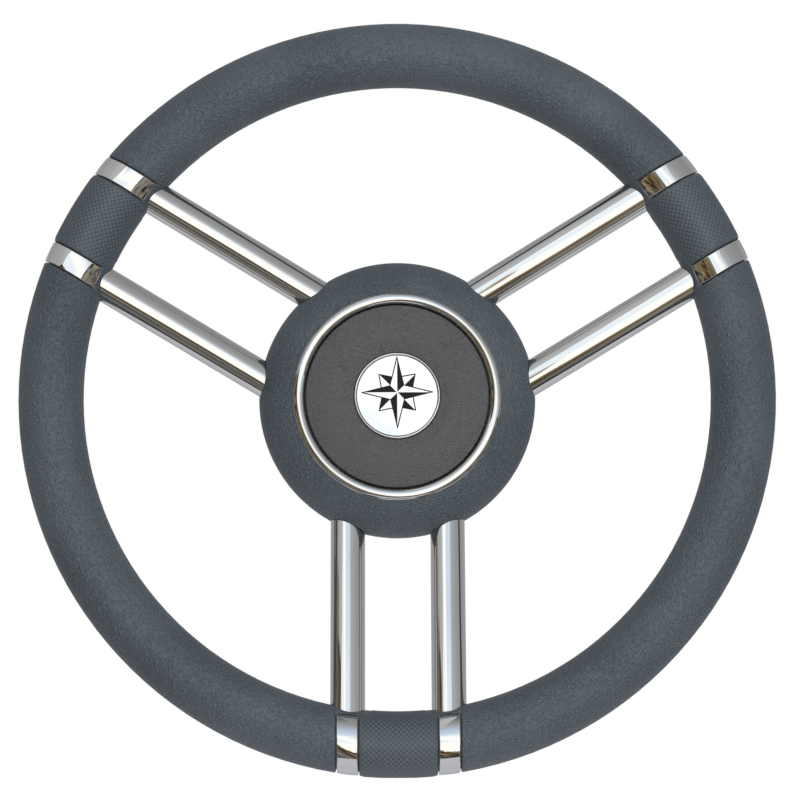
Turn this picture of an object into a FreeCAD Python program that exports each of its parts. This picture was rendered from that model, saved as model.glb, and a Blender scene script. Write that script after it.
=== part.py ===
import FreeCAD, Part
import math
import os

# Boat steering wheel: a padded ring on three pairs of polished tubular spokes, with a moulded
# hub and a round padded cap. Sizes are in millimetres and degrees.
#
# The wheel is built lying on its back. The shaft axis is Z, +Z points at the helmsman, +Y is the
# top of the wheel, and the origin is at the mouth of the tapered bore, in the rear face of the
# boss. Each pair of spokes is built along +X and then turned to its place. At the end every
# piece is turned about X, so that the wheel stands upright and faces -Y.

# Rim
wheel_diameter = 350.0
grip_diameter = 30.0
core_diameter = 17.2
core_wall = 1.6

# Spokes, in pairs of parallel tubes that rise from the hub to the rim. One pair points straight
# down, and the others by the side pair angle above the horizontal
spoke_diameter = 16.0
spoke_wall = 1.5
spoke_spacing = 46.5
spoke_rise_angle = 10.5
side_pair_angle = 30.5

# Polished bands, each in a groove of the grip, open at the tube
band_width = 9.6
band_crown_radius = 60.0
band_crown_height = 0.1
band_edge_round = 0.4
band_side_gap = 0.5
band_end_gap = 0.3
groove_depth = 1.8
groove_edge_round = 0.9
collar_margin = 2.5
collar_side_wall = 1.5
tube_mouth_round = 0.7

# Welded hub: a drum that the spokes stand on, a plate across it and a boss through the plate
drum_diameter = 80.0
drum_wall = 4.0
drum_height = 26.0
plate_thickness = 5.0
boss_diameter = 40.0
boss_length = 34.0
boss_stand_out = 10.0
boss_chamfer = 1.0

# Tapered bore, 1 in 12 on the diameter, with a keyway and a recess for the shaft nut
bore_mouth_diameter = 19.05
bore_taper = 1.0 / 12.0
nut_recess_diameter = 32.0
nut_recess_depth = 8.0
keyway_width = 4.76
keyway_depth = 2.4

# Moulded hub cover
cover_diameter = 129.4
cover_side_round = 15.0
cover_side_sweep = 40.0
cover_front_round = 30.0
cover_rear_round = 14.0
cover_mouth_round = 0.8

# Trim ring round the cap
ring_outer_diameter = 96.6
ring_width = 5.2
ring_sunk = 1.0
ring_crown = 1.8

# Cap: a carrier with snap fingers, a pad with a dip round the badge, and the badge
cap_gap = 0.6
cap_seat_depth = 3.6
flange_thickness = 2.0
flange_inset = 0.4
finger_count = 6
finger_sweep = 26.0
finger_thickness = 2.0
finger_clearance = 0.4
hook_depth = 8.0
hook_catch = 0.8
hook_land = 1.0
hook_length = 3.0
hook_play = 0.3
pad_edge_height = 3.0
pad_edge_round = 1.2
pad_dome_height = 2.8
pad_shoulder_diameter = 55.0
pad_dome_midway_drop = 0.7
pad_dip = 1.3
pad_dip_midway_drop = 0.7
badge_diameter = 39.8
badge_clearance = 0.15
badge_height = 2.4
badge_stand_out = 0.7
bezel_width = 1.0
bezel_floor = 0.8
bezel_edge_round = 0.35
inlay_clearance = 0.05
inlay_sunk = 0.45
inlay_crown = 0.25

# The pairs of spokes as the helmsman sees them, anticlockwise from the bottom: the name of the
# pair, its angle from +X, and the names of its spokes on the clockwise and the anticlockwise side
pairs = [
    ("bottom", 270.0, "left", "right"),
    ("right", side_pair_angle, "lower", "upper"),
    ("left", 180.0 - side_pair_angle, "upper", "lower"),
]

length_tolerance = 1e-6

# Derived places
rim_radius = (wheel_diameter - grip_diameter) / 2
grip_radius = grip_diameter / 2
core_radius = core_diameter / 2
neck_radius = grip_radius - groove_depth
groove_width = band_width + 2 * band_side_gap
spoke_radius = spoke_diameter / 2
spoke_offset = spoke_spacing / 2
collar_height = spoke_diameter + 2 * collar_margin
collar_width = spoke_diameter + 2 * collar_side_wall
drum_radius = drum_diameter / 2
drum_bore_radius = drum_radius - drum_wall
boss_radius = boss_diameter / 2
cover_radius = cover_diameter / 2
ring_outer_radius = ring_outer_diameter / 2
ring_inner_radius = ring_outer_radius - ring_width
cap_radius = ring_inner_radius - cap_gap
badge_radius = badge_diameter / 2

hub_rear = boss_stand_out
drum_front = hub_rear + drum_height
weld_height = hub_rear + drum_height / 2


def reach_at(radius):
    """How far along its pair's direction a spoke's axis is when it crosses this radius."""
    return math.sqrt(radius ** 2 - spoke_offset ** 2)


def axis_height(reach):
    """Height of a spoke's axis at this reach: it is centred on the drum and rises outwards."""
    return weld_height + (reach - reach_at(drum_radius)) * math.tan(math.radians(spoke_rise_angle))


rim_reach = reach_at(rim_radius)
rim_height = axis_height(rim_reach)
cover_widest_height = axis_height(reach_at(cover_radius))

side_round_radius = cover_radius - cover_side_round
side_sweep = math.radians(cover_side_sweep)
front_round_radius = side_round_radius - (cover_front_round - cover_side_round) * math.cos(side_sweep)
front_round_height = cover_widest_height - (cover_front_round - cover_side_round) * math.sin(side_sweep)


def cover_surface_height(radius):
    """Height of the cover's front curve at this radius."""
    return front_round_height + math.sqrt(cover_front_round ** 2 - (radius - front_round_radius) ** 2)


cover_lip_height = cover_surface_height(ring_outer_radius)
ring_base = cover_lip_height - ring_sunk
cap_seat = ring_base - cap_seat_depth
pad_base = cap_seat + flange_thickness
pad_edge_top = pad_base + pad_edge_height
pad_top = pad_edge_top + pad_dome_height
pocket_radius = badge_radius + badge_clearance
pocket_edge = pad_top - pad_dip
badge_top = pocket_edge + badge_stand_out
badge_base = badge_top - badge_height
hook_top = drum_front - hook_depth

axis_z = FreeCAD.Vector(0, 0, 1)
centre = FreeCAD.Vector(0, 0, 0)


def profile(start, *steps):
    """A flat face in the XZ plane. Each step is the end of a line, or the middle and end of an arc."""
    edges = []
    here = FreeCAD.Vector(start[0], 0, start[1])
    for step in steps:
        points = [FreeCAD.Vector(x, 0, z) for x, z in step]
        if len(points) == 1:
            edges.append(Part.makeLine(here, points[0]))
        else:
            edges.append(Part.Arc(here, points[0], points[1]).toShape())
        here = points[-1]
    edges.append(Part.makeLine(here, FreeCAD.Vector(start[0], 0, start[1])))
    return Part.Face(Part.Wire(edges))


def turned(face, sweep=360.0, axis=axis_z):
    """A solid of revolution about an axis through the origin."""
    solid = face.revolve(centre, axis, sweep)
    if solid.Volume < 0:
        solid.reverse()
    return solid


def on_circle(circle_centre, radius, angle):
    """A point on a circle of the profile plane, with the angle in degrees from the radial way."""
    x, z = circle_centre
    return (x + radius * math.cos(math.radians(angle)), z + radius * math.sin(math.radians(angle)))


def ring_of(section_radius):
    """A ring of round section on the rim's centre line."""
    return Part.makeTorus(rim_radius, section_radius, FreeCAD.Vector(0, 0, rim_height), axis_z)


def round_flat_ends(solid, radius):
    """Rounds the edges of every flat face of the solid."""
    edges = [e for f in solid.Faces if isinstance(f.Surface, Part.Plane) for e in f.Edges]
    return solid.makeFillet(radius, edges)


def turn_to_pair(shape, pair_angle):
    """Turns a shape built along +X to the place of a pair of spokes."""
    turned_shape = shape.copy()
    turned_shape.rotate(centre, axis_z, pair_angle)
    return turned_shape


def rim_slab(low, high):
    """A block across the rim on the +X side, between two planes of constant Y."""
    depth = 2 * grip_diameter
    block = Part.makeBox(depth, high - low, depth)
    block.translate(FreeCAD.Vector(rim_reach - depth / 2, low, rim_height - depth / 2))
    return block


def spoke_rod(side, radius):
    """A rod on a spoke's axis, from inside the drum to the rim's centre line."""
    start_reach = reach_at(drum_radius) - spoke_diameter
    start = FreeCAD.Vector(start_reach, side * spoke_offset, axis_height(start_reach))
    end = FreeCAD.Vector(rim_reach, side * spoke_offset, rim_height)
    return Part.makeCylinder(radius, (end - start).Length, start, end - start)


def collar_block(side, width, height):
    """A block along a spoke's axis from the rim's centre line inwards, round the tube."""
    block = Part.makeBox(grip_diameter, width, height)
    block.translate(FreeCAD.Vector(-grip_diameter, -width / 2, -height / 2))
    block.rotate(centre, FreeCAD.Vector(0, 1, 0), -spoke_rise_angle)
    block.translate(FreeCAD.Vector(rim_reach, side * spoke_offset, rim_height))
    return block


def make_spoke(side):
    """A tube with its ends shaped to the drum and to the core of the rim."""
    bore_radius = spoke_radius - spoke_wall
    drum_base = FreeCAD.Vector(0, 0, hub_rear - drum_height / 2)
    solid_drum = Part.makeCylinder(drum_radius, 2 * drum_height, drum_base)
    tube = spoke_rod(side, spoke_radius).cut(spoke_rod(side, bore_radius))
    return tube.cut(solid_drum).cut(ring_of(core_radius)).Solids[0]


def make_band(side):
    """A band cut from a barrel on the rim's tangent, hollowed to the groove and open at the tube."""
    crest = grip_radius + band_crown_height
    barrel_reach = band_width
    barrel_edge = crest - band_crown_radius + math.sqrt(band_crown_radius ** 2 - barrel_reach ** 2)
    barrel = turned(profile(
        (-barrel_reach, 0),
        [(-barrel_reach, barrel_edge)],
        [(0, crest), (barrel_reach, barrel_edge)],
        [(barrel_reach, 0)],
    ), axis=FreeCAD.Vector(1, 0, 0))
    tangent_angle = 90 + math.degrees(math.atan2(side * spoke_offset, rim_reach))
    barrel.rotate(centre, axis_z, tangent_angle)
    barrel.translate(FreeCAD.Vector(rim_reach, side * spoke_offset, rim_height))
    middle = side * spoke_offset
    band = round_flat_ends(
        barrel.common(rim_slab(middle - band_width / 2, middle + band_width / 2)), band_edge_round
    )
    opening = collar_block(side, 2 * groove_width, collar_height + 2 * band_end_gap)
    return band.cut(ring_of(neck_radius)).cut(opening).Solids[0]


def hole_mouths(shape, is_outside):
    """The edges of the holes that the spokes pass through, where the test says they are outside."""
    holes = [
        f for f in shape.Faces
        if isinstance(f.Surface, Part.Cylinder) and abs(f.Surface.Radius - spoke_radius) < length_tolerance
    ]
    curves = [e for f in holes for e in f.Edges if not isinstance(e.Curve, Part.Line)]
    return [e for e in curves if is_outside(e.valueAt((e.FirstParameter + e.LastParameter) / 2))]


def spoke_rods(places):
    """The solid rods that stand for all the spokes where other pieces close round them."""
    return [turn_to_pair(spoke_rod(side, spoke_radius), angle) for _, angle, side in places]


def make_grip(places):
    """The moulded grip: one piece, with a groove for each band and a collar round each tube."""
    full = ring_of(grip_radius)
    outer = spoke_offset + groove_width / 2
    inner = spoke_offset - groove_width / 2
    pair_angles = sorted({angle for _, angle, _ in places})
    long_parts = full.cut([turn_to_pair(rim_slab(-outer, outer), angle) for angle in pair_angles])
    short_part = round_flat_ends(full.common(rim_slab(-inner, inner)), groove_edge_round)
    parts = [round_flat_ends(solid, groove_edge_round) for solid in long_parts.Solids]
    parts += [turn_to_pair(short_part, angle) for angle in pair_angles]

    blocks = {side: collar_block(side, collar_width, collar_height) for side in (-1, 1)}
    collars = [turn_to_pair(blocks[side], angle) for _, angle, side in places]
    parts = [solid.cut(collars) for solid in parts] + [full.common(block) for block in collars]
    grip = ring_of(neck_radius).multiFuse(parts).cut(spoke_rods(places))

    def is_on_skin(point):
        return math.hypot(math.hypot(point.x, point.y) - rim_radius, point.z - rim_height) > neck_radius

    return grip.makeFillet(tube_mouth_round, hole_mouths(grip, is_on_skin)).cut(ring_of(core_radius))


def make_core():
    """The steel ring of tube inside the grip."""
    return ring_of(core_radius).cut(ring_of(core_radius - core_wall))


def make_drum():
    """The short steel tube that the spokes are welded to, with a groove for the cap's hooks."""
    groove_radius = drum_bore_radius + hook_catch + hook_play
    groove_top = hook_top + hook_play
    groove_bottom = hook_top - hook_length - hook_play
    return turned(profile(
        (drum_bore_radius, hub_rear),
        [(drum_radius, hub_rear)],
        [(drum_radius, drum_front)],
        [(drum_bore_radius, drum_front)],
        [(drum_bore_radius, groove_top)],
        [(groove_radius, groove_top)],
        [(groove_radius, groove_bottom)],
        [(drum_bore_radius, groove_bottom)],
    ))


def make_plate():
    """The disc across the rear of the drum, with a hole for the boss."""
    disc = Part.makeCylinder(drum_bore_radius, plate_thickness, FreeCAD.Vector(0, 0, hub_rear))
    return disc.cut(Part.makeCylinder(boss_radius, plate_thickness, FreeCAD.Vector(0, 0, hub_rear)))


def make_boss():
    """The turned boss, with its tapered bore, keyway and nut recess."""
    mouth_radius = bore_mouth_diameter / 2
    taper_length = boss_length - nut_recess_depth
    throat_radius = mouth_radius - taper_length * bore_taper / 2
    nut_radius = nut_recess_diameter / 2
    boss = turned(profile(
        (mouth_radius, 0),
        [(boss_radius - boss_chamfer, 0)],
        [(boss_radius, boss_chamfer)],
        [(boss_radius, boss_length)],
        [(nut_radius, boss_length)],
        [(nut_radius, taper_length)],
        [(throat_radius, taper_length)],
    ))
    keyway = Part.makeBox(keyway_width, mouth_radius + keyway_depth, taper_length)
    keyway.translate(FreeCAD.Vector(-keyway_width / 2, 0, 0))
    return boss.cut(keyway)


def make_cover(places):
    """The moulding over the hub, closed round the spokes and open in front for the cap."""
    side_centre = (side_round_radius, cover_widest_height)
    front_centre = (front_round_radius, front_round_height)
    rear_centre = (cover_radius - cover_rear_round, hub_rear + cover_rear_round)
    lip_angle = math.degrees(math.acos((ring_outer_radius - front_round_radius) / cover_front_round))
    front_middle = (cover_side_sweep + lip_angle) / 2
    body = turned(profile(
        (drum_radius, hub_rear),
        [(rear_centre[0], hub_rear)],
        [on_circle(rear_centre, cover_rear_round, -45), (cover_radius, rear_centre[1])],
        [(cover_radius, cover_widest_height)],
        [
            on_circle(side_centre, cover_side_round, cover_side_sweep / 2),
            on_circle(side_centre, cover_side_round, cover_side_sweep),
        ],
        [on_circle(front_centre, cover_front_round, front_middle), (ring_outer_radius, cover_lip_height)],
        [(ring_outer_radius, ring_base)],
        [(ring_inner_radius, ring_base)],
        [(ring_inner_radius, cap_seat)],
        [(drum_bore_radius, cap_seat)],
        [(drum_bore_radius, drum_front)],
        [(drum_radius, drum_front)],
    ))
    cover = body.cut(spoke_rods(places))

    def is_outside_drum(point):
        return math.hypot(point.x, point.y) > drum_radius + length_tolerance

    return cover.makeFillet(cover_mouth_round, hole_mouths(cover, is_outside_drum))


def make_trim_ring():
    """The half-round ring, seated in the rebate of the cover."""
    middle = (ring_outer_radius + ring_inner_radius) / 2
    return turned(profile(
        (ring_inner_radius, ring_base),
        [(ring_outer_radius, ring_base)],
        [(ring_outer_radius, cover_lip_height)],
        [(middle, cover_lip_height + ring_crown), (ring_inner_radius, cover_lip_height)],
    ))


def make_carrier():
    """The cap's plastic carrier: a flange on the seat, and fingers that hook into the drum."""
    flange = Part.makeCylinder(cap_radius - flange_inset, flange_thickness, FreeCAD.Vector(0, 0, cap_seat))
    outer = drum_bore_radius - finger_clearance
    inner = outer - finger_thickness
    tip = drum_bore_radius + hook_catch
    finger = turned(profile(
        (inner, cap_seat + flange_thickness / 2),
        [(outer, cap_seat + flange_thickness / 2)],
        [(outer, hook_top)],
        [(tip, hook_top)],
        [(tip, hook_top - hook_land)],
        [(outer, hook_top - hook_length)],
        [(inner, hook_top - hook_length)],
    ), sweep=finger_sweep)
    step = 360.0 / finger_count
    return flange.multiFuse([turn_to_pair(finger, step * i) for i in range(finger_count)])


def make_pad():
    """The cap's soft pad: a low dome with a dip round the badge's pocket."""
    shoulder = pad_shoulder_diameter / 2
    dome_start = cap_radius - pad_edge_round
    crown_points = [
        (dome_start, pad_edge_top),
        ((dome_start + shoulder) / 2, pad_top - pad_dome_midway_drop),
        (shoulder, pad_top),
        ((shoulder + pocket_radius) / 2, pad_top - pad_dip_midway_drop),
        (pocket_radius, pocket_edge),
    ]
    crown = Part.BSplineCurve()
    crown.interpolate([FreeCAD.Vector(x, 0, z) for x, z in crown_points])
    corner_centre = (dome_start, pad_edge_top - pad_edge_round)
    corners = [
        (pocket_radius, pocket_edge), (pocket_radius, badge_base), (0, badge_base), (0, pad_base),
        (cap_radius, pad_base), (cap_radius, corner_centre[1]),
    ]
    points = [FreeCAD.Vector(x, 0, z) for x, z in corners]
    middle = on_circle(corner_centre, pad_edge_round, 45)
    edges = [Part.makeLine(a, b) for a, b in zip(points, points[1:])]
    edges.append(Part.Arc(
        points[-1], FreeCAD.Vector(middle[0], 0, middle[1]), FreeCAD.Vector(dome_start, 0, pad_edge_top)
    ).toShape())
    return turned(Part.Face(Part.Wire([crown.toShape()] + edges)))


def make_bezel():
    """The polished cup of the badge."""
    inner = badge_radius - bezel_width
    r = bezel_edge_round
    outer_centre = (badge_radius - r, badge_top - r)
    inner_centre = (inner + r, badge_top - r)
    return turned(profile(
        (0, badge_base),
        [(badge_radius, badge_base)],
        [(badge_radius, badge_top - r)],
        [on_circle(outer_centre, r, 45), (badge_radius - r, badge_top)],
        [(inner + r, badge_top)],
        [on_circle(inner_centre, r, 135), (inner, badge_top - r)],
        [(inner, badge_base + bezel_floor)],
        [(0, badge_base + bezel_floor)],
    ))


def make_inlay():
    """The mirror disc of the badge, very slightly crowned."""
    radius = badge_radius - bezel_width - inlay_clearance
    edge_top = badge_top - inlay_sunk
    sphere_radius = (radius ** 2 + inlay_crown ** 2) / (2 * inlay_crown)
    half_drop = sphere_radius - math.sqrt(sphere_radius ** 2 - (radius / 2) ** 2)
    return turned(profile(
        (0, badge_base + bezel_floor),
        [(radius, badge_base + bezel_floor)],
        [(radius, edge_top)],
        [(radius / 2, edge_top + inlay_crown - half_drop), (0, edge_top + inlay_crown)],
    ))


def spoke_places():
    """The name of each spoke, the angle of its pair and its side of the pair."""
    places = []
    for pair, angle, clockwise_side, anticlockwise_side in pairs:
        places.append((f"{pair}_{clockwise_side}", angle, -1))
        places.append((f"{pair}_{anticlockwise_side}", angle, 1))
    return places


def make_wheel():
    """Every piece of the wheel by name."""
    places = spoke_places()
    pieces = {
        "rim_core": make_core(),
        "rim_grip": make_grip(places),
        "hub_drum": make_drum(),
        "hub_plate": make_plate(),
        "hub_boss": make_boss(),
        "hub_cover": make_cover(places),
        "trim_ring": make_trim_ring(),
        "cap_carrier": make_carrier(),
        "cap_pad": make_pad(),
        "badge_bezel": make_bezel(),
        "badge_disc": make_inlay(),
    }
    spokes = {side: make_spoke(side) for side in (-1, 1)}
    bands = {side: make_band(side) for side in (-1, 1)}
    for name, angle, side in places:
        pieces[f"spoke_{name}"] = turn_to_pair(spokes[side], angle)
        pieces[f"band_{name}"] = turn_to_pair(bands[side], angle)
    return pieces


os.makedirs("parts", exist_ok=True)
for node, piece in make_wheel().items():
    piece.rotate(centre, FreeCAD.Vector(1, 0, 0), 90)
    piece.exportStep(f"parts/{node}.step")
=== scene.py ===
import math

import bmesh
import bpy
from mathutils import Matrix, Vector, noise


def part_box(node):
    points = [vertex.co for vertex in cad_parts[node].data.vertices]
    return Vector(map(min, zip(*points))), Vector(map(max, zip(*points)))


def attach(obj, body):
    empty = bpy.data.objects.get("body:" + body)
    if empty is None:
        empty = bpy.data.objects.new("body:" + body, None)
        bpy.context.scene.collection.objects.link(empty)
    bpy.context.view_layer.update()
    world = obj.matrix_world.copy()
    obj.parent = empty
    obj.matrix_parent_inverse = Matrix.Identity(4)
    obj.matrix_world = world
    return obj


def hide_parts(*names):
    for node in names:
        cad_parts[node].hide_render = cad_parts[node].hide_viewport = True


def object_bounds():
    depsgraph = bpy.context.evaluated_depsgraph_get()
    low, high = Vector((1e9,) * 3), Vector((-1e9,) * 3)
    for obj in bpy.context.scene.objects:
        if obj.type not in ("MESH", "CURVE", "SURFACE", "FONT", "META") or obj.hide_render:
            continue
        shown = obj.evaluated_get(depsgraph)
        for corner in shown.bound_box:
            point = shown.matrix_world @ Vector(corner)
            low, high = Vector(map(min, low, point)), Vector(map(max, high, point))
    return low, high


# Boat steering wheel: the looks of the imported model. Sizes are in metres, in the CAD frame: the
# wheel stands upright and faces -Y, +Z is up, and +X is on the helmsman's right.

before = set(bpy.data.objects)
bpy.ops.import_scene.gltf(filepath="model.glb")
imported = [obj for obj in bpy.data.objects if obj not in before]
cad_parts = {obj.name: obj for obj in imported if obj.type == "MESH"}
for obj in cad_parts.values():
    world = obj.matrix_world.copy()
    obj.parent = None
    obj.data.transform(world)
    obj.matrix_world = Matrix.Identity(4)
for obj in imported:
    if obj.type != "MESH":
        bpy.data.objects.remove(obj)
cad_low, cad_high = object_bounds()

# Camera, with its sensor and lens in millimetres
core_low, core_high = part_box("rim_core")
rim_centre = Vector((0, (core_low.y + core_high.y) / 2, 0))
camera_distance = 1.277
camera_elevation = math.radians(-5.75)
camera_roll = math.radians(0.22)
aim_right = 0.00127
aim_down = 0.0018
sensor_width = 36.0
lens_length = 124.28

# Stage: a floor, soft light from all round, and square lamps with their power in watts
floor_height = -0.6
floor_side = 12.0
floor_white = (0.8, 0.8, 0.8, 1)
floor_lift = 0.3
white = (1.0, 1.0, 1.0, 1)
soft_above = (0.52, 0.53, 0.55, 1)
soft_below = (0.28, 0.29, 0.305, 1)
lamps = {
    "key_light": {"place": (-0.20, -2.30, 0.75), "side": 0.9, "power": 26.0, "colour": (1.0, 0.99, 0.98)},
    "fill_light": {"place": (1.3, -1.9, 0.3), "side": 1.8, "power": 13.0, "colour": (0.96, 0.98, 1.0)},
    "back_light": {"place": (0.6, 2.2, 1.2), "side": 2.0, "power": 14.0, "colour": (1.0, 1.0, 1.0)},
    "top_light": {"place": (0.12, -0.35, 0.55), "side": 0.4, "power": 1.0, "colour": (0.97, 0.98, 1.0)},
    "low_light": {"place": (0.10, -0.38, -0.55), "side": 0.4, "power": 1.4, "colour": (0.97, 0.98, 1.0)},
}

# Rim, as the CAD has it, with the angle of each pair of spokes in degrees
rim_radius = 0.160
grip_radius = 0.015
pair_angles = {"bottom": 270.0, "right": 30.5, "left": 149.5}

# Knurl on the short sections of the rim: a thin shell on the grip, with diamonds that rise from it.
# A gain above a half gives the diamonds flat tops.
knurl_half_length = 0.0168
knurl_pitch = 0.0025
knurl_turns = 37
knurl_foot = 0.00002
knurl_rise = 0.00021
knurl_gain = 0.75
knurl_shell = 0.0004
knurl_end_fade = 0.0005
steps_per_pitch = 10

# The knurl stops before the tubes, which leave the rim on its inner side. That side is given in
# degrees round the section of the grip: its middle, its half width, and where the fade ends.
tube_start = 0.0125
tube_fade = 0.0008
inner_side = 270.0
inner_side_half = 28.0
inner_side_end = 34.0

# Pad, with the CAD's sizes but a slightly deeper dip. Its front has swells of (height, number per
# metre, layer of the noise), which are left out near the edge, near the pocket and low on the side.
pad_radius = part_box("cap_pad")[1].x
pad_edge_height = 0.003
pad_edge_round = 0.0012
pad_shoulder_radius = 0.0275
pad_dip = 0.0017
pad_dip_margin = 0.0006
pad_rings = 64
pad_turns = 360
pad_swells = ((0.00016, 160, 3.1), (0.00007, 420, 7.7))
swell_start = 0.0002
swell_end = 0.003
swell_lowest = 0.001
pocket_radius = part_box("badge_bezel")[1].x + 0.00015
pocket_round = 0.0003
pocket_step = 0.0001
pocket_fade = 0.002

# Badge: a domed disc, whose first ring is a small share of a step from the axis, and a cup with a
# rounded lip. The thin print stands as far out of the disc's face as it goes into it.
disc_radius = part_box("badge_disc")[1].x
disc_crown = 0.00025
disc_rings = 24
disc_middle = 0.02
lip_steps = 16
print_rise = 0.00004
seam_width = 0.0003
seam_gap = 0.00002
seam_steps = 120

# Compass rose: its long and short points, where they meet, and the width of its lines
rose_long = 0.0168
rose_short = 0.0122
rose_waist = 0.0047
rose_foot = 0.3
rose_line = 0.00055
rose_gap = 0.0002
rose_up = 0.0015
rose_columns = 14
rose_rows = 3

# The pad and the cup close with a flat face of this radius on the axis. An edge of the disc or the
# cup that bends more than the sharp angle stays crisp.
axis_face = 0.004
sharp_angle = math.radians(40)


class Graph:
    """Builds a node tree. An input gets a value, or the output socket that drives it."""

    def __init__(self, tree):
        self.tree = tree
        tree.nodes.clear()

    def feed(self, node, inputs):
        """Sets or links inputs of a node, by name or number."""
        for key, value in inputs.items():
            if isinstance(value, bpy.types.NodeSocket):
                self.tree.links.new(value, node.inputs[key])
            else:
                node.inputs[key].default_value = value

    def add(self, kind, inputs=None, **settings):
        """A new node with these inputs and settings."""
        node = self.tree.nodes.new("ShaderNode" + kind)
        for name, value in settings.items():
            setattr(node, name, value)
        self.feed(node, inputs or {})
        return node

    def math(self, operation, *values):
        """The result of a math node."""
        return self.add("Math", dict(enumerate(values)), operation=operation).outputs[0]

    def step(self, value, start, end):
        """0 before the start, 1 past the end, and smooth between them. The end may be the lower one."""
        node = self.add("MapRange", {0: value, 1: start, 2: end}, interpolation_type="SMOOTHSTEP")
        return node.outputs[0]

    def span(self, value, low, high):
        """The value, moved from the range 0 to 1 to the range low to high."""
        return self.add("MapRange", {0: value, 3: low, 4: high}).outputs[0]

    def mix(self, factor, first, second):
        """A colour between two others."""
        return self.add("Mix", {0: factor, 6: first, 7: second}, data_type="RGBA").outputs[2]

    def ramp(self, value, stops):
        """A colour that follows the value through stops of (place, colour)."""
        node = self.add("ValToRGB", {0: value})
        elements = node.color_ramp.elements
        while len(elements) < len(stops):
            elements.new(1.0)
        for element, (place, colour) in zip(elements, stops):
            element.position = place
            element.color = (*colour, 1)
        return node.outputs[0]

    def noise(self, vector, scale, detail, roughness=0.5, distortion=0.0):
        """Smooth noise about 0.5."""
        inputs = {
            "Vector": vector, "Scale": scale, "Detail": detail,
            "Roughness": roughness, "Distortion": distortion,
        }
        return self.add("TexNoise", inputs).outputs[0]

    def bump(self, height, depth):
        """The normal of a surface whose relief follows this height, up to this depth."""
        return self.add("Bump", {"Strength": 1.0, "Distance": depth, "Height": height}).outputs[0]

    def vector(self, x, y, z):
        """A vector from three values."""
        return self.add("CombineXYZ", {0: x, 1: y, 2: z}).outputs[0]

    def object_point(self):
        """Where a point is on the object, in metres."""
        return self.add("TexCoord").outputs["Object"]


def shader_graph(name):
    """A new material, its graph and its principled shader."""
    material = bpy.data.materials.new(name)
    material.use_nodes = True
    graph = Graph(material.node_tree)
    shader = graph.add("BsdfPrincipled")
    graph.add("OutputMaterial", {"Surface": shader.outputs[0]})
    return material, graph, shader


def leather_height(graph, point, scale, distortion, crease):
    """The height of a pebbled leather grain: rounded cells with creases between them."""
    wander = graph.add("TexNoise", {"Vector": point, "Scale": scale * 0.7, "Detail": 1.0}).outputs[1]
    shifted = graph.add(
        "VectorMath", {0: wander, 1: (distortion / scale,) * 3, 2: point}, operation="MULTIPLY_ADD"
    ).outputs[0]
    cells = graph.add(
        "TexVoronoi", {"Vector": shifted, "Scale": scale}, feature="DISTANCE_TO_EDGE"
    ).outputs[0]
    return graph.step(cells, 0.0, crease)


def make_polyurethane():
    """Slate grey moulded polyurethane with a leather grain, and painted shade in the creases of the
    grain.
    """
    material, graph, shader = shader_graph("polyurethane")
    point = graph.object_point()
    grain = leather_height(graph, point, scale=600.0, distortion=1.1, crease=0.60)
    swells = graph.noise(point, scale=330.0, detail=2.0)
    height = graph.math("MULTIPLY_ADD", swells, 0.9, grain)
    patches = graph.noise(point, scale=22.0, detail=3.0)
    # Painted shade: the colour darkens in the grain's creases, on top of broad random patches of tone
    shade_and_tone = graph.math("MULTIPLY_ADD", grain, 0.5, patches)
    graph.feed(shader, {
        "Base Color": graph.ramp(shade_and_tone, [(0.3, (0.040, 0.051, 0.060)), (1.1, (0.076, 0.092, 0.104))]),
        "Roughness": graph.span(patches, 0.36, 0.46),
        "Specular IOR Level": 0.5,
        "Normal": graph.bump(height, depth=0.00055),
    })
    return material


def make_knurled():
    """The same polyurethane on the knurl: no grain, and painted shade that darkens it towards the foot of
    the diamonds.
    """
    material, graph, shader = shader_graph("knurled_polyurethane")
    point = graph.object_point()
    crest = graph.add("Attribute", attribute_name="crest").outputs["Fac"]
    patches = graph.noise(point, scale=22.0, detail=3.0)
    texture = graph.noise(point, scale=2600.0, detail=2.0)
    graph.feed(shader, {
        # Painted shade: the colour follows the crest height, dark at the foot of the diamonds and full at
        # their tops
        "Base Color": graph.ramp(crest, [(0.0, (0.027, 0.035, 0.042)), (0.7, (0.060, 0.073, 0.084))]),
        "Roughness": graph.span(patches, 0.38, 0.46),
        "Specular IOR Level": 0.5,
        "Normal": graph.bump(texture, depth=0.00003),
    })
    return material


def make_leather():
    """Warm grey leather with fine pebbles and with creases that run level, and painted shade where they
    lie low.
    """
    material, graph, shader = shader_graph("cap_leather")
    point = graph.object_point()

    # The scale draws the creases out along X, and the turn only picks their place in the noise
    level = graph.add(
        "Mapping", {"Vector": point, "Rotation": (0, math.radians(34), 0), "Scale": (1.0, 1.0, 3.2)}
    ).outputs[0]
    creases = graph.noise(level, scale=300.0, detail=4.0, roughness=0.65, distortion=0.5)
    pebbles = leather_height(graph, point, scale=950.0, distortion=0.9, crease=0.35)
    height = graph.math("MULTIPLY_ADD", pebbles, 0.3, creases)
    patches = graph.noise(point, scale=60.0, detail=3.0)
    # Painted shade: the colour darkens where the creases and pebbles lie low, on top of random patches of
    # tone
    shade_and_tone = graph.math("MULTIPLY_ADD", height, 1.2, patches)
    graph.feed(shader, {
        "Base Color": graph.ramp(shade_and_tone, [(0.8, (0.0385, 0.038, 0.0395)), (1.9, (0.073, 0.0715, 0.074))]),
        "Roughness": graph.span(patches, 0.42, 0.56),
        "Specular IOR Level": 0.45,
        "Normal": graph.bump(height, depth=0.0006),
    })
    return material


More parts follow.
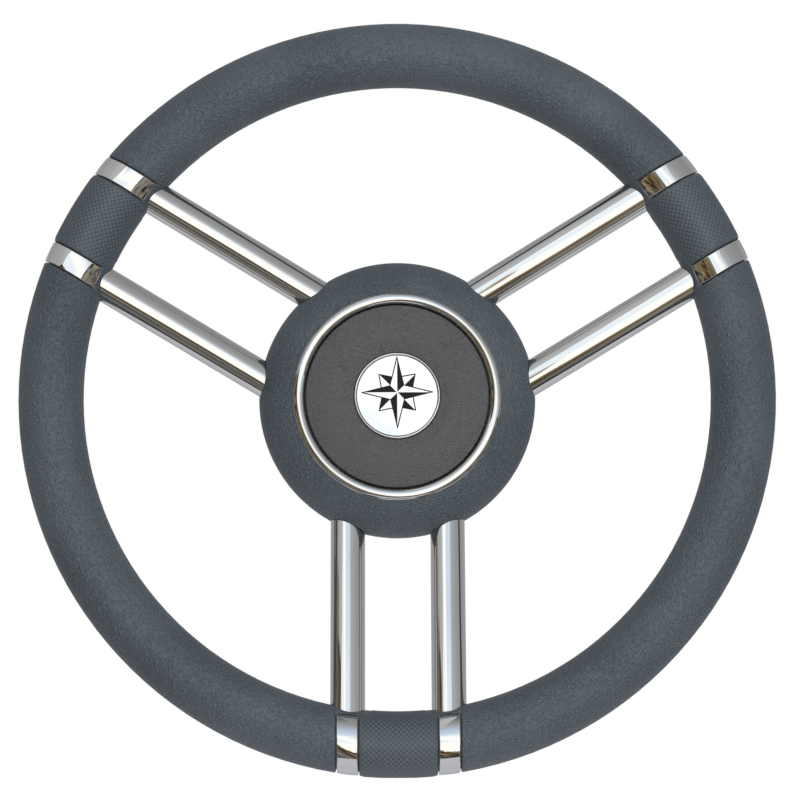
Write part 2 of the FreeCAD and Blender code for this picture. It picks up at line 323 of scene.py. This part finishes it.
def make_polished_steel(name, base, roughness, wave_height):
    """Mirror polished steel, with faint smears and a surface that isn't quite even."""
    material, graph, shader = shader_graph(name)
    point = graph.object_point()
    smears = graph.noise(point, scale=90.0, detail=4.0, roughness=0.6)
    waves = graph.noise(point, scale=14.0, detail=1.0)
    graph.feed(shader, {
        "Base Color": graph.mix(smears, (*base, 1), (*[min(1.0, c * 1.05) for c in base], 1)),
        "Metallic": 1.0,
        "Roughness": graph.span(smears, roughness * 0.6, roughness * 1.4),
        "Normal": graph.bump(waves, depth=wave_height),
    })
    return material


def make_turned_steel():
    """Bare machined steel with fine turning marks round the shaft axis."""
    material, graph, shader = shader_graph("turned_steel")
    point = graph.object_point()
    x, y, z = graph.add("SeparateXYZ", {0: point}).outputs
    squares = graph.math("ADD", graph.math("MULTIPLY", x, x), graph.math("MULTIPLY", z, z))
    radius = graph.math("SQRT", squares)
    marks = graph.noise(graph.vector(radius, y, 0.0), scale=5200.0, detail=2.0, roughness=0.7)
    patches = graph.noise(point, scale=70.0, detail=3.0)
    graph.feed(shader, {
        "Base Color": graph.ramp(patches, [(0.3, (0.46, 0.45, 0.43)), (0.7, (0.58, 0.57, 0.55))]),
        "Metallic": 1.0,
        "Roughness": graph.span(patches, 0.26, 0.42),
        "Normal": graph.bump(marks, depth=0.000012),
    })
    return material


def make_black_plastic():
    """Black moulded plastic with a fine spark-eroded texture."""
    material, graph, shader = shader_graph("black_plastic")
    point = graph.object_point()
    texture = graph.noise(point, scale=1800.0, detail=3.0, roughness=0.6)
    patches = graph.noise(point, scale=40.0, detail=2.0)
    graph.feed(shader, {
        "Base Color": graph.ramp(patches, [(0.3, (0.014, 0.014, 0.015)), (0.7, (0.02, 0.02, 0.021))]),
        "Roughness": graph.span(patches, 0.5, 0.62),
        "Normal": graph.bump(texture, depth=0.00004),
    })
    return material


def make_enamel():
    """Black enamel of the compass rose and the seam."""
    material, graph, shader = shader_graph("rose_enamel")
    patches = graph.noise(graph.object_point(), scale=900.0, detail=3.0)
    graph.feed(shader, {
        "Base Color": graph.ramp(patches, [(0.3, (0.007, 0.007, 0.008)), (0.7, (0.012, 0.012, 0.014))]),
        "Roughness": graph.span(patches, 0.45, 0.55),
        "Specular IOR Level": 0.12,
        "Normal": graph.bump(patches, depth=0.00001),
    })
    return material


def outline(graph, azimuth, points):
    """The elevation of an outline at each azimuth, from points of (azimuth, elevation) in degrees."""
    share = graph.math("MULTIPLY_ADD", azimuth, 1 / 360, 0.5)
    stops = [((x + 180) / 360, ((y + 90) / 180,) * 3) for x, y in points]
    return graph.math("MULTIPLY_ADD", graph.ramp(share, stops), 180.0, -90.0)


def make_sky(graph, azimuth, elevation):
    """The sky, with a grey wall on its left."""
    # White ahead, greyer upwards and to the right, with a pale haze low on the left
    slant = graph.math("MULTIPLY_ADD", azimuth, 0.7, elevation)
    sky = graph.ramp(graph.math("MULTIPLY", slant, 1 / 120), [
        (0.00, (1.52, 1.53, 1.50)), (0.08, (1.52, 1.53, 1.50)), (0.11, (1.44, 1.49, 1.56)),
        (0.15, (1.26, 1.34, 1.42)), (0.21, (0.90, 0.99, 1.10)),
        (0.25, (0.78, 0.86, 0.95)), (0.27, (0.60, 0.63, 0.67)), (0.38, (0.52, 0.54, 0.57)),
        (0.50, (0.43, 0.44, 0.46)), (0.80, (0.37, 0.38, 0.40)), (1.00, (0.34, 0.35, 0.37)),
    ])
    haze = graph.math("MULTIPLY", graph.step(slant, 4.5, 0.5), graph.step(elevation, -8.0, -3.0))
    sky = graph.mix(haze, sky, (1.20, 1.34, 1.48, 1))

    # Pale blue straight above
    overhead = graph.ramp(graph.math("MULTIPLY", elevation, 1 / 90), [
        (0.16, (1.30, 1.40, 1.48)), (0.28, (0.82, 0.98, 1.18)), (0.45, (0.66, 0.77, 0.98)),
        (0.60, (0.50, 0.52, 0.56)), (0.75, (0.38, 0.39, 0.41)), (0.90, (0.18, 0.19, 0.20)),
    ])
    off_middle = graph.math("ABSOLUTE", graph.math("SUBTRACT", azimuth, 1.0))
    blue = graph.math("MULTIPLY", graph.step(off_middle, 20.0, 12.0), graph.step(elevation, 14.0, 22.0))
    sky = graph.mix(blue, sky, overhead)

    wall = graph.ramp(graph.math("MULTIPLY_ADD", azimuth, 1 / 180, 1.0), [
        (0.15, (0.44, 0.45, 0.48)), (0.40, (0.47, 0.48, 0.51)), (0.65, (0.52, 0.53, 0.56)),
        (0.80, (0.66, 0.67, 0.69)),
    ])
    wall_foot = outline(graph, azimuth, [
        (-180, -40), (-60, 10), (-42, 17), (-37, 22), (-28, 26), (-20, 30), (-15, 50), (-11, 90),
    ])
    above_foot = graph.math("SUBTRACT", elevation, wall_foot)
    return graph.mix(graph.step(above_foot, -0.8, 0.8), sky, wall)


def make_ground(graph, azimuth, elevation, depth, ripple):
    """The ground: gold, brown and black from its top edge down, streaked along the horizon."""
    ragged = graph.math("MULTIPLY_ADD", ripple, 14.0, depth)
    ground = graph.ramp(graph.math("MULTIPLY", ragged, 1 / 50), [
        (0.00, (0.62, 0.52, 0.36)), (0.06, (0.46, 0.35, 0.18)), (0.14, (0.30, 0.21, 0.10)),
        (0.24, (0.17, 0.115, 0.06)), (0.32, (0.05, 0.04, 0.03)), (0.42, (0.06, 0.05, 0.045)),
        (0.52, (0.20, 0.18, 0.15)), (0.75, (0.27, 0.27, 0.26)), (1.00, (0.20, 0.20, 0.20)),
    ])

    # Its colours to the left and to the right, above the lowest part
    left = graph.ramp(graph.math("MULTIPLY_ADD", azimuth, 1 / 120, 1.0), [
        (0.08, (0.40, 0.40, 0.42)), (0.13, (0.05, 0.055, 0.06)), (0.24, (0.12, 0.12, 0.12)),
        (0.36, (0.25, 0.22, 0.16)), (0.50, (0.27, 0.21, 0.11)), (0.60, (0.12, 0.07, 0.025)),
        (0.66, (0.08, 0.05, 0.02)), (0.72, (0.27, 0.20, 0.11)), (0.84, (0.32, 0.27, 0.20)),
    ])
    right = graph.ramp(graph.math("MULTIPLY", azimuth, 1 / 120), [
        (0.22, (0.60, 0.56, 0.50)), (0.32, (0.33, 0.32, 0.30)), (0.50, (0.30, 0.30, 0.28)),
        (0.62, (0.13, 0.13, 0.14)), (0.78, (0.13, 0.14, 0.15)), (0.88, (0.06, 0.065, 0.08)),
    ])
    shallow = graph.step(elevation, -36.0, -26.0)
    on_left = graph.math("MULTIPLY", shallow, graph.step(azimuth, -10.0, -16.0))
    on_right = graph.math("MULTIPLY", shallow, graph.step(azimuth, 20.0, 28.0))
    ground = graph.mix(on_left, ground, left)
    ground = graph.mix(on_right, ground, right)

    along = graph.vector(graph.math("MULTIPLY", azimuth, 0.45), graph.math("MULTIPLY", depth, 1.6), 5.0)
    streaks = graph.noise(along, scale=0.14, detail=4.0, roughness=0.6)
    ground = graph.mix(graph.step(streaks, 0.52, 0.60), ground, (0.035, 0.030, 0.026, 1))
    return graph.mix(graph.step(streaks, 0.44, 0.38), ground, (0.42, 0.34, 0.20, 1))


def make_surroundings(graph):
    """How high a direction points, and what the polished metal mirrors there.

    It mirrors a bright window of sky over brown ground, with a grey wall beside it.
    """
    direction = graph.add("TexCoord").outputs["Generated"]
    x, y, z = graph.add("SeparateXYZ", {0: direction}).outputs
    to_degrees = 180 / math.pi
    ahead = graph.math("MULTIPLY", y, -1.0)
    azimuth = graph.math("MULTIPLY", graph.math("ARCTAN2", x, ahead), to_degrees)
    elevation = graph.math("MULTIPLY", graph.math("ARCSINE", z), to_degrees)
    place = graph.vector(azimuth, elevation, 0.0)
    ripple = graph.math("SUBTRACT", graph.noise(place, scale=0.11, detail=4.0, roughness=0.65), 0.5)

    # The sky meets the ground along a ragged edge
    ground_top = outline(graph, azimuth, [
        (-112, 16), (-48, 17), (-42, 16), (-35, 13), (-27, 7), (-19, 1), (-12, -9), (-9, -17),
        (-5, -27), (0, -33), (6, -37), (20, -39), (25, -27), (28, -18), (34, -13), (42, -8),
        (60, -6), (112, -6),
    ])
    depth = graph.math("SUBTRACT", ground_top, elevation)
    sky = make_sky(graph, azimuth, elevation)
    ground = make_ground(graph, azimuth, elevation, depth, ripple)
    edge = graph.math("MULTIPLY_ADD", ripple, 7.0, depth)
    scene = graph.mix(graph.step(edge, -0.5, 0.5), sky, ground)

    # Right below is a pale floor, and behind the wheel a pale backdrop in the shade
    floor_edge = outline(graph, azimuth, [
        (-112, -52), (-95, -62), (-60, -67), (-30, -60), (30, -60), (60, -67), (95, -62), (112, -52),
    ])
    below_edge = graph.math("SUBTRACT", floor_edge, elevation)
    scene = graph.mix(graph.step(below_edge, -0.6, 0.6), scene, (0.69, 0.71, 0.78, 1))
    behind = graph.ramp(graph.math("MULTIPLY_ADD", elevation, 1 / 180, 0.5), [
        (0.20, (0.66, 0.68, 0.74)), (0.34, (0.52, 0.53, 0.57)), (0.50, (0.43, 0.44, 0.47)),
        (0.72, (0.41, 0.42, 0.45)), (0.84, (0.33, 0.34, 0.36)), (0.95, (0.16, 0.17, 0.18)),
    ])
    off_ahead = graph.math("ABSOLUTE", azimuth)
    return z, graph.mix(graph.step(off_ahead, 108.0, 116.0), scene, behind)


def make_world():
    """White behind the object, soft light on it, and plain surroundings for the metal to mirror."""
    world = bpy.data.worlds.new("studio")
    world.use_nodes = True
    graph = Graph(world.node_tree)
    height, mirrored = make_surroundings(graph)
    path = graph.add("LightPath").outputs
    shown = graph.math("MAXIMUM", path["Is Camera Ray"], path["Is Transmission Ray"])
    soft = graph.mix(graph.step(height, -1.0, 1.0), soft_below, soft_above)
    light = graph.mix(path["Is Glossy Ray"], soft, mirrored)
    colour = graph.mix(shown, light, white)
    background = graph.add("Background", {"Color": colour, "Strength": 1.0})
    graph.add("OutputWorld", {"Surface": background.outputs[0]})
    bpy.context.scene.world = world


def make_floor():
    """A plain white floor that keeps the shadow of the object."""
    half = floor_side / 2
    mesh = bpy.data.meshes.new("floor")
    corners = [(-half, -half), (half, -half), (half, half), (-half, half)]
    mesh.from_pydata([(x, y, floor_height) for x, y in corners], [], [(0, 1, 2, 3)])
    floor = bpy.data.objects.new("floor", mesh)
    bpy.context.scene.collection.objects.link(floor)
    material = bpy.data.materials.new("floor_white")
    material.use_nodes = True
    graph = Graph(material.node_tree)
    plain = graph.add("BsdfDiffuse", {"Color": floor_white})
    is_camera = graph.add("LightPath").outputs["Is Camera Ray"]
    strength = graph.math("MULTIPLY", is_camera, floor_lift)
    lift = graph.add("Emission", {"Color": white, "Strength": strength})
    both = graph.add("AddShader", {0: plain.outputs[0], 1: lift.outputs[0]})
    graph.add("OutputMaterial", {"Surface": both.outputs[0]})
    mesh.materials.append(material)
    floor.visible_glossy = False


def make_light(name, place, side, power, colour):
    """A soft lamp that looks at the wheel. The metal mirrors the surroundings instead of it."""
    lamp = bpy.data.lights.new(name, "AREA")
    lamp.shape = "SQUARE"
    lamp.size = side
    lamp.energy = power
    lamp.color = colour
    light = bpy.data.objects.new(name, lamp)
    light.location = place
    light.rotation_euler = (rim_centre - Vector(place)).to_track_quat("-Z", "Y").to_euler()
    light.visible_glossy = False
    bpy.context.scene.collection.objects.link(light)


def make_camera():
    """The camera where the photographer stood."""
    data = bpy.data.cameras.new("camera")
    data.sensor_width = sensor_width
    data.lens = lens_length
    camera = bpy.data.objects.new("camera", data)
    back = Vector((0, -math.cos(camera_elevation), math.sin(camera_elevation)))
    camera_up = Vector((0, math.sin(camera_elevation), math.cos(camera_elevation)))
    place = rim_centre + back * camera_distance
    aim = rim_centre + Vector((aim_right, 0, 0)) - camera_up * aim_down
    level = (aim - place).to_track_quat("-Z", "Y").to_matrix().to_4x4()
    camera.matrix_world = Matrix.Translation(place) @ level @ Matrix.Rotation(-camera_roll, 4, "Z")
    bpy.context.scene.collection.objects.link(camera)
    bpy.context.scene.camera = camera


def new_piece(name, vertices, faces, material, smooth=True):
    """A mesh that belongs to the wheel, with all its faces turned outwards."""
    mesh = bpy.data.meshes.new(name)
    mesh.from_pydata(vertices, [], faces)
    mesh.validate()
    shape = bmesh.new()
    shape.from_mesh(mesh)
    bmesh.ops.recalc_face_normals(shape, faces=shape.faces)
    shape.to_mesh(mesh)
    shape.free()
    mesh.polygons.foreach_set("use_smooth", [smooth] * len(mesh.polygons))
    mesh.materials.append(material)
    piece = bpy.data.objects.new(name, mesh)
    bpy.context.scene.collection.objects.link(piece)
    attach(piece, "root")
    return piece


def smooth_step(value, start, end):
    """0 before the start, 1 past the end, and smooth between them. The end may be the lower one."""
    share = min(1.0, max(0.0, (value - start) / (end - start)))
    return share * share * (3 - 2 * share)


def pad_height(radius, top, base):
    """How far in front the pad is at this radius."""
    edge_top = base + pad_edge_height
    dome_start = pad_radius - pad_edge_round
    if radius > dome_start:
        drop = radius - dome_start
        return edge_top - pad_edge_round + math.sqrt(max(0.0, pad_edge_round ** 2 - drop ** 2))
    if radius > pad_shoulder_radius:
        share = (radius - pad_shoulder_radius) / (dome_start - pad_shoulder_radius)
        return edge_top + (top - edge_top) * (1 - share ** 2.0)
    share = smooth_step(radius, pocket_radius - pad_dip_margin, pad_shoulder_radius)
    return top - pad_dip * (1 - share)


def make_knurl(name, pair_angle, material):
    """The knurl on a short section of the grip: low diamonds on a thin shell round it."""
    along_x = math.cos(pair_angle)
    along_z = math.sin(pair_angle)
    half_steps = round(knurl_half_length / knurl_pitch * steps_per_pitch)
    around = knurl_turns * steps_per_pitch
    turns = [2 * math.pi * j / around for j in range(around)]
    waves = [math.cos(knurl_turns * turn) for turn in turns]
    off_inner_side = [abs(math.degrees(turn) - inner_side) for turn in turns]
    inner_sides = [smooth_step(off, inner_side_end, inner_side_half) for off in off_inner_side]
    vertices = []
    crests = []

    def add_row(offset, surface=None):
        """A row of points round the grip, this far along it from the middle of the pair.

        Where the diamonds fade out the shell dips under the grip. No point leaves the CAD's box.
        """
        wave = math.cos(2 * math.pi * offset / knurl_pitch)
        full = smooth_step(abs(offset), knurl_half_length, knurl_half_length - knurl_end_fade)
        near_tube = smooth_step(abs(offset), tube_start - tube_fade, tube_start)
        for j in range(around):
            here = full * (1 - near_tube * inner_sides[j])
            crest = min(1.0, knurl_gain * abs(wave + waves[j]))
            lift = here * (knurl_foot + knurl_rise * crest) - (1 - here) * 2 * knurl_foot
            radius = grip_radius + (lift if surface is None else surface)
            out = math.sqrt((rim_radius + radius * math.sin(turns[j])) ** 2 - offset ** 2)
            y = max(rim_centre.y - radius * math.cos(turns[j]), cad_low.y)
            z = max(along_z * out + along_x * offset, cad_low.z)
            vertices.append((along_x * out - along_z * offset, y, z))
            # The crest value, 1 where the knurl has faded out, sets the painted shade at the foot of the
            # diamonds
            crests.append(1 - here * (1 - crest))

    # The outer rows run one way, and the fewer rows of the shell's inner side run back
    rows = [(i, None) for i in range(-half_steps, half_steps + 1)]
    rows += [(i, -knurl_shell) for i in range(half_steps, -half_steps, -steps_per_pitch)]
    rows.append((-half_steps, -knurl_shell))
    for i, surface in rows:
        add_row(i * knurl_pitch / steps_per_pitch, surface)
    faces = []
    for i in range(len(rows)):
        near = i * around
        far = (i + 1) % len(rows) * around
        for j in range(around):
            k = (j + 1) % around
            faces.append((near + j, far + j, far + k, near + k))
    knurl = new_piece(name, vertices, faces, material)
    # The crest attribute drives the knurled material's painted shade
    knurl.data.attributes.new("crest", "FLOAT", "POINT").data.foreach_set("value", crests)


def turned_piece(name, rows, material, turns=240):
    """A closed piece turned about the wheel's axis, from rows of (radius, distance in front)."""
    vertices = []
    for radius, height in rows:
        for j in range(turns):
            turn = 2 * math.pi * j / turns
            vertices.append((radius * math.cos(turn), -height, radius * math.sin(turn)))
    faces = [tuple(range(turns)), tuple(len(vertices) - 1 - j for j in range(turns))]
    for near in range(0, len(vertices) - turns, turns):
        far = near + turns
        for j in range(turns):
            k = (j + 1) % turns
            faces.append((near + j, far + j, far + k, near + k))
    return new_piece(name, vertices, faces, material)


def make_pad(material):
    """The leather of the cap, drawn over its foam: a low dome with a dip round the badge."""
    low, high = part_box("cap_pad")
    base, top = -high.y, -low.y
    pocket_floor = -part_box("badge_bezel")[1].y
    pocket_edge = pad_height(pocket_radius, top, base) - pocket_round
    rows = [(axis_face, pocket_floor), (pocket_radius, pocket_floor), (pocket_radius, pocket_edge)]
    for i in range(pad_rings + 1):
        radius = pocket_radius + (pad_radius - pocket_radius) * i / pad_rings
        rows.append((max(radius, pocket_radius + pocket_step), pad_height(radius, top, base)))
    rows += [(pad_radius, base), (axis_face, base)]
    pad = turned_piece("leather_pad", rows, material, turns=pad_turns)

    # Shallow swells on the front, which fade out at the pad's edge and at the pocket
    for vertex in pad.data.vertices:
        x, y, z = vertex.co
        radius = math.hypot(x, z)
        in_ring = pocket_radius + pocket_step < radius < pad_radius - swell_start
        if in_ring and -y > base + swell_lowest:
            fade = smooth_step(pad_radius - radius, swell_start, swell_end)
            fade *= smooth_step(radius, pocket_radius, pocket_radius + pocket_fade)
            swell = 0.0
            for height, rate, layer in pad_swells:
                swell += height * noise.noise(Vector((x * rate, z * rate, layer)))
            vertex.co.y -= fade * swell
    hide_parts("cap_pad")


def disc_front(radius):
    """How far in front the badge's disc is at this radius."""
    return -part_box("badge_disc")[0].y - disc_crown * (radius / disc_radius) ** 2


def sheet_piece(points):
    """Vertices and faces of a thin closed plate on the disc, over a grid of points in the XZ plane."""
    rows, columns = len(points), len(points[0])
    vertices = []
    for lift in (print_rise, -print_rise):
        for row in points:
            for x, z in row:
                vertices.append((x, -(disc_front(math.hypot(x, z)) + lift), z))
    back = rows * columns
    faces = []
    for i in range(rows - 1):
        for j in range(columns - 1):
            a = i * columns + j
            b = a + columns
            faces.append((a, a + 1, b + 1, b))
            faces.append((back + b, back + b + 1, back + a + 1, back + a))

    # The wall follows the border of the grid
    border = list(range(columns))
    border += [i * columns + columns - 1 for i in range(1, rows)]
    border += [(rows - 1) * columns + j for j in range(columns - 2, -1, -1)]
    border += [i * columns for i in range(rows - 2, 0, -1)]
    for a, b in zip(border, border[1:] + border[:1]):
        faces.append((b, a, back + a, back + b))
    return vertices, faces


def make_rose(material):
    """The compass rose on the badge: each point has a dark half and an outlined bright half."""
    vertices = []
    faces = []

    def at(degrees, radius):
        """A point at this angle and distance from the middle of the rose."""
        return (radius * math.cos(math.radians(degrees)), radius * math.sin(math.radians(degrees)))

    def between(a, b, share):
        """The point at this share of the way from a to b."""
        return (a[0] + (b[0] - a[0]) * share, a[1] + (b[1] - a[1]) * share)

    def add(a, b, c, d, rows=rose_rows):
        """A thin plate between the line a-b and the line d-c."""
        points = []
        for i in range(rows + 1):
            row = []
            for j in range(rose_columns + 1):
                share = j / rose_columns
                x, z = between(between(a, b, share), between(d, c, share), i / rows)
                row.append((x, z + rose_up))
            points.append(row)
        new_vertices, new_faces = sheet_piece(points)
        start = len(vertices)
        vertices.extend(new_vertices)
        faces.extend(tuple(start + i for i in face) for face in new_faces)

    def stroke(a, b, width):
        """A line of this width from a to b."""
        length = math.dist(a, b)
        side = ((a[1] - b[1]) / length * width / 2, (b[0] - a[0]) / length * width / 2)
        add((a[0] + side[0], a[1] + side[1]), (b[0] + side[0], b[1] + side[1]),
            (b[0] - side[0], b[1] - side[1]), (a[0] - side[0], a[1] - side[1]), rows=1)

    for angle in (90, 180, 270, 360):
        tip = at(angle, rose_long)
        waist_before = at(angle - 45, rose_waist)
        waist_after = at(angle + 45, rose_waist)
        add(at(angle, rose_gap), tip, tip, waist_before)
        stroke(waist_after, at(angle, rose_long - rose_gap), rose_line)

        # The short point stands on the flanks of the two long points beside it
        short_tip = at(angle + 45, rose_short)
        dark_foot = between(waist_after, tip, rose_foot)
        plain_foot = between(waist_after, at(angle + 90, rose_long), rose_foot)
        add(waist_after, short_tip, short_tip, dark_foot)
        stroke(plain_foot, at(angle + 45, rose_short - rose_gap), rose_line)
    new_piece("compass_rose", vertices, faces, material, smooth=False)


def make_seam(material):
    """The dark seam between the badge's disc and its bezel."""
    turns = [2 * math.pi * j / seam_steps for j in range(seam_steps + 1)]
    radii = (disc_radius - seam_width, disc_radius - seam_gap)
    points = [[(radius * math.cos(turn), radius * math.sin(turn)) for turn in turns] for radius in radii]
    vertices, faces = sheet_piece(points)
    new_piece("badge_seam", vertices, faces, material, smooth=False)


def make_disc(material):
    """The badge's disc: a very shallow dome with an even curve, so that it mirrors cleanly."""
    rows = []
    for i in range(disc_rings + 1):
        radius = disc_radius * (i + disc_middle) / (disc_rings + disc_middle)
        rows.append((radius, disc_front(radius)))
    rows.append((disc_radius, -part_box("badge_disc")[1].y))
    disc = turned_piece("mirror_disc", rows, material)
    disc.data.set_sharp_from_angle(angle=sharp_angle)
    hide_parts("badge_disc")


def make_bezel(material):
    """The thin cup round the disc, with a rounded lip."""
    low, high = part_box("badge_bezel")
    floor, front, outside = -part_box("badge_disc")[1].y, -low.y, high.x
    half = (outside - disc_radius) / 2
    rows = [(axis_face, floor), (disc_radius, floor)]
    for i in range(lip_steps + 1):
        turn = math.pi * (1 - i / lip_steps)
        rows.append((disc_radius + half * (1 + math.cos(turn)), front + half * (math.sin(turn) - 1)))
    rows += [(outside, -high.y), (axis_face, -high.y)]
    bezel = turned_piece("bezel_cup", rows, material)
    bezel.data.set_sharp_from_angle(angle=sharp_angle)
    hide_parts("badge_bezel")


polyurethane = make_polyurethane()
knurled = make_knurled()
polished = make_polished_steel(
    "polished_steel", base=(0.66, 0.645, 0.62), roughness=0.035, wave_height=0.0012
)
mirror = make_polished_steel(
    "badge_mirror", base=(0.70, 0.69, 0.68), roughness=0.03, wave_height=0.00002
)
turned = make_turned_steel()
plastic = make_black_plastic()
enamel = make_enamel()

# Every solid that isn't named here is polished, such as the tubes, the bands and the trim ring
finish_of = {
    "rim_grip": polyurethane, "hub_cover": polyurethane,
    "rim_core": turned, "hub_drum": turned, "hub_plate": turned, "hub_boss": turned,
    "badge_disc": mirror, "cap_carrier": plastic,
}
for name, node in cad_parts.items():
    if name != "cap_pad":
        for slot in node.material_slots:
            slot.material = finish_of.get(name, polished)

for pair, degrees in pair_angles.items():
    make_knurl(f"knurl_{pair}", math.radians(degrees), knurled)
make_pad(make_leather())
make_disc(mirror)
make_bezel(polished)
make_rose(enamel)
make_seam(enamel)
make_world()
make_floor()
for name, lamp in lamps.items():
    make_light(name, **lamp)
make_camera()
bpy.context.scene.view_settings.view_transform = "Standard"
